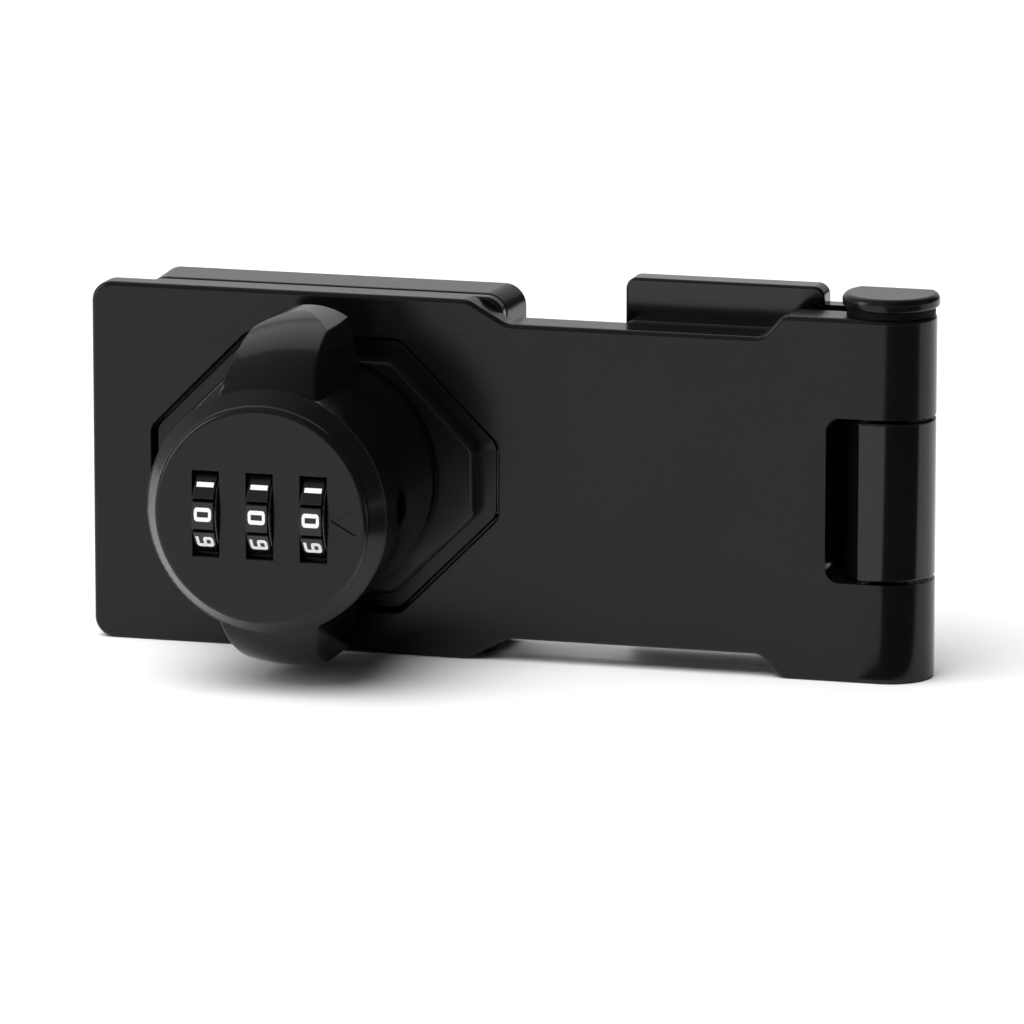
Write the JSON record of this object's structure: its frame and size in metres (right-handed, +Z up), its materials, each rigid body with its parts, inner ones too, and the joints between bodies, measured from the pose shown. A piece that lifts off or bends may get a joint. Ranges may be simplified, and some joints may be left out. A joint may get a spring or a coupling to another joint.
{
  "type": "combination hasp lock",
  "caption": "Black combination hasp lock: a hinged arm closed over a lock base by a winged turning knob with number wheels in its dial.",
  "frame": {"origin": "centre of the lock base's screw pattern on its mounting plane, on the knob's axis", "axes": "+X along the arm towards the hinge, +Y into the surface that the lock is screwed to, +Z up"},
  "size_m": [0.1135, 0.0435, 0.051],
  "materials": {
    "satin_coat": "satin black powder coat",
    "gloss_coat": "smooth black enamel",
    "wheel_plastic": "moulded black with white numerals",
    "carrier_plastic": "moulded dark grey",
    "steel": "zinc plated",
    "black_steel": "blackened steel",
    "spring_steel": "bare spring wire",
    "brass": "turned"
  },
  "bodies": {
    "lock": {"hasp_arm": "satin_coat", "lock_base": "satin_coat", "base_plate": "satin_coat", "stop_pin": "steel", "index_ball": "steel", "index_spring": "spring_steel", "hinge_pin": "satin_coat", "pin_washer": "wheel_plastic"},
    "hinge_leaf": {"hinge_base": "gloss_coat", "hinge_bushing": "brass"},
    "knob": {"knob_body": "gloss_coat", "dial_cover": "satin_coat", "wheel_carrier": "carrier_plastic", "locking_bar": "steel", "locking_bar_springs": "spring_steel", "detent_spring": "spring_steel", "retaining_washer": "steel", "knob_screw": "steel", "carrier_screws": "steel", "reset_spring": "spring_steel"},
    "plunger": {"reset_plunger": "black_steel"},
    "wheel_left": {"number_wheel_left": "wheel_plastic"},
    "sleeve_left": {"code_sleeve_left": "brass"},
    "wheel_middle": {"number_wheel_middle": "wheel_plastic"},
    "sleeve_middle": {"code_sleeve_middle": "brass"},
    "wheel_right": {"number_wheel_right": "wheel_plastic"},
    "sleeve_right": {"code_sleeve_right": "brass"}
  },
  "joints": [
    {"name": "leaf_swing", "type": "hinge", "parent": "lock", "child": "hinge_leaf", "pos_m": [0.0751, -0.007, 0], "axis": [0, 0, -1], "range_deg": [0, 180]},
    {"name": "knob_turn", "type": "hinge", "parent": "lock", "child": "knob", "pos_m": [0, -0.02, 0], "axis": [0, 1, 0], "range_deg": [0, 90]},
    {"name": "plunger_push", "type": "slide", "parent": "knob", "child": "plunger", "axis": [-1, 0, 0], "range_m": [0, 0.0011], "stiffness_N_per_m": 400, "springref_m": -0.002, "deforming": ["reset_spring"]},
    {"name": "wheel_left_turn", "type": "hinge", "parent": "knob", "child": "wheel_left", "pos_m": [-0.00725, -0.0372, 0], "axis": [1, 0, 0], "continuous": true},
    {"name": "sleeve_left_turn", "type": "hinge", "parent": "plunger", "child": "sleeve_left", "pos_m": [-0.00725, -0.0372, 0], "axis": [1, 0, 0], "continuous": true},
    {"name": "wheel_middle_turn", "type": "hinge", "parent": "knob", "child": "wheel_middle", "pos_m": [0, -0.0372, 0], "axis": [1, 0, 0], "continuous": true},
    {"name": "sleeve_middle_turn", "type": "hinge", "parent": "plunger", "child": "sleeve_middle", "pos_m": [0, -0.0372, 0], "axis": [1, 0, 0], "continuous": true},
    {"name": "wheel_right_turn", "type": "hinge", "parent": "knob", "child": "wheel_right", "pos_m": [0.00725, -0.0372, 0], "axis": [1, 0, 0], "continuous": true},
    {"name": "sleeve_right_turn", "type": "hinge", "parent": "plunger", "child": "sleeve_right", "pos_m": [0.00725, -0.0372, 0], "axis": [1, 0, 0], "continuous": true}
  ],
  "couplings": [
    {"joint": "sleeve_left_turn", "follows": "wheel_left_turn", "ratio": 1},
    {"joint": "sleeve_middle_turn", "follows": "wheel_middle_turn", "ratio": 1},
    {"joint": "sleeve_right_turn", "follows": "wheel_right_turn", "ratio": 1}
  ]
}
